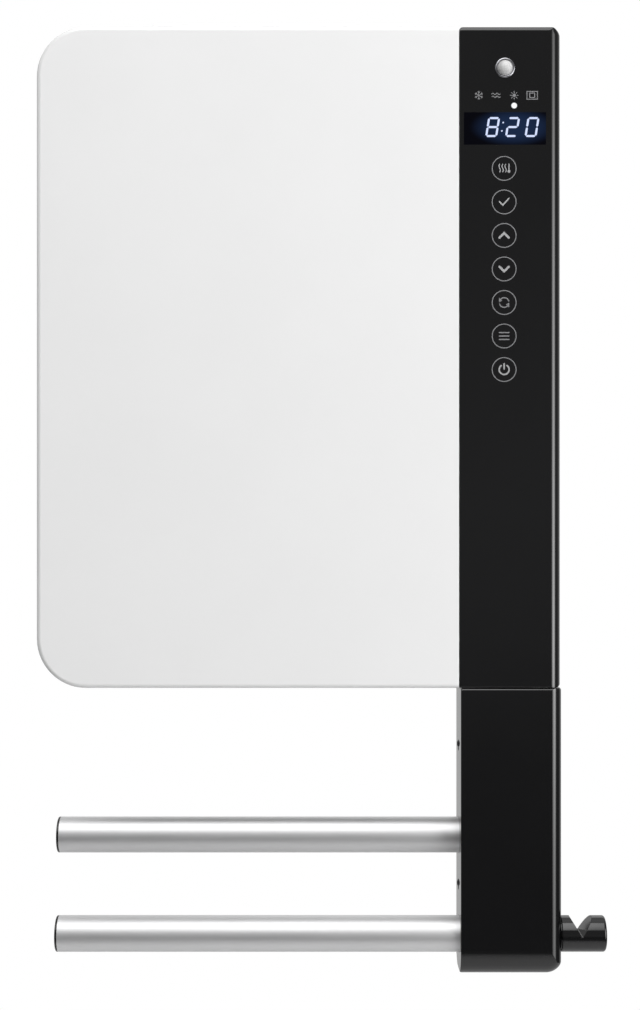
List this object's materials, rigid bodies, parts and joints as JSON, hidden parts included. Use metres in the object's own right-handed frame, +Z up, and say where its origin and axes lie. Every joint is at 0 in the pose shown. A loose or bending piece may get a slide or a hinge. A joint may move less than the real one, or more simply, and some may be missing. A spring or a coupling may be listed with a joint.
{
  "type": "bathroom wall fan heater",
  "caption": "Flat wall fan heater with a control column, a lower tower that holds two cantilevered towel bars, and a notched robe hook on its side.",
  "frame": {"origin": "middle of the wall bracket's back face, on the wall and behind the middle of the casing", "axes": "+X to the right seen from the front, +Y into the wall, +Z up"},
  "size_m": [0.3818, 0.1242, 0.6462],
  "materials": {
    "white_gloss": "gloss moulded",
    "white_satin": "fine texture",
    "black_gloss": "gloss moulded",
    "display_lens": "smoked clear",
    "dome_plastic": "milky",
    "bezel_chrome": "dark chrome",
    "light_clear": "clear light guide",
    "circuit_board": "solder mask",
    "black_plastic": "fine texture",
    "grey_plastic": "fine texture",
    "blue_plastic": "moulded",
    "cream_plastic": "moulded heat-proof",
    "rubber_black": "matt",
    "zinc_steel": "zinc plated",
    "lamination_steel": "stacked sheet",
    "bright_steel": "ground",
    "bronze": "sintered",
    "winding": "taped copper winding",
    "satin_aluminium": "satin anodised",
    "cast_aluminium": "as cast"
  },
  "bodies": {
    "heater": {"front_panel": "white_gloss", "control_fascia": "black_gloss", "display_window": "display_lens", "pir_dome": "dome_plastic", "pir_bezel": "bezel_chrome", "status_light_guide": "light_clear", "control_board": "circuit_board", "display_module": "black_plastic", "touch_pads": "rubber_black", "pir_sensor": "zinc_steel", "status_led": "light_clear", "front_chassis": "grey_plastic", "rear_casing": "white_satin", "wall_bracket": "zinc_steel", "power_board": "circuit_board", "relays": "blue_plastic", "terminal_block": "cream_plastic", "cable_grommet": "rubber_black", "mains_switch_body": "black_plastic", "air_guide": "zinc_steel", "left_end_plate": "zinc_steel", "right_end_plate": "zinc_steel", "motor_stator": "lamination_steel", "motor_coil": "winding", "motor_straps": "zinc_steel", "motor_screws": "zinc_steel", "shaft_bushes": "bronze", "rubber_bearing_mount": "rubber_black", "heater_frame": "cream_plastic", "heating_rows": "cast_aluminium", "thermal_cutout": "black_plastic", "outlet_grille": "black_plastic", "casing_screws": "zinc_steel", "panel_screws": "zinc_steel", "tower_front_shell": "black_gloss", "tower_rear_shell": "black_gloss", "tower_frame": "zinc_steel", "tower_standoff": "black_plastic", "standoff_screws": "zinc_steel", "tongue_screws": "zinc_steel", "cover_screws": "zinc_steel", "towel_bar_upper": "satin_aluminium", "towel_bar_lower": "satin_aluminium", "bar_end_caps": "black_plastic", "bar_plugs": "cast_aluminium", "bar_bolts": "zinc_steel", "robe_hook": "black_gloss", "hook_bolt": "zinc_steel"},
    "fan": {"fan_impeller": "black_plastic", "fan_shaft": "bright_steel", "motor_rotor": "lamination_steel"},
    "filter": {"filter_cassette": "white_satin", "filter_mesh": "grey_plastic"},
    "rocker": {"mains_rocker": "black_plastic"}
  },
  "joints": [
    {"name": "fan_spin", "type": "hinge", "parent": "heater", "child": "fan", "pos_m": [0, -0.04875, -0.1188], "axis": [1, 0, 0], "continuous": true},
    {"name": "filter_slide", "type": "slide", "parent": "heater", "child": "filter", "axis": [0, 0, 1], "range_m": [0, 0.03]},
    {"name": "rocker_tilt", "type": "hinge", "parent": "heater", "child": "rocker", "pos_m": [0.1651, -0.046, 0.06], "axis": [0, 1, 0], "range_deg": [0, 16]}
  ]
}
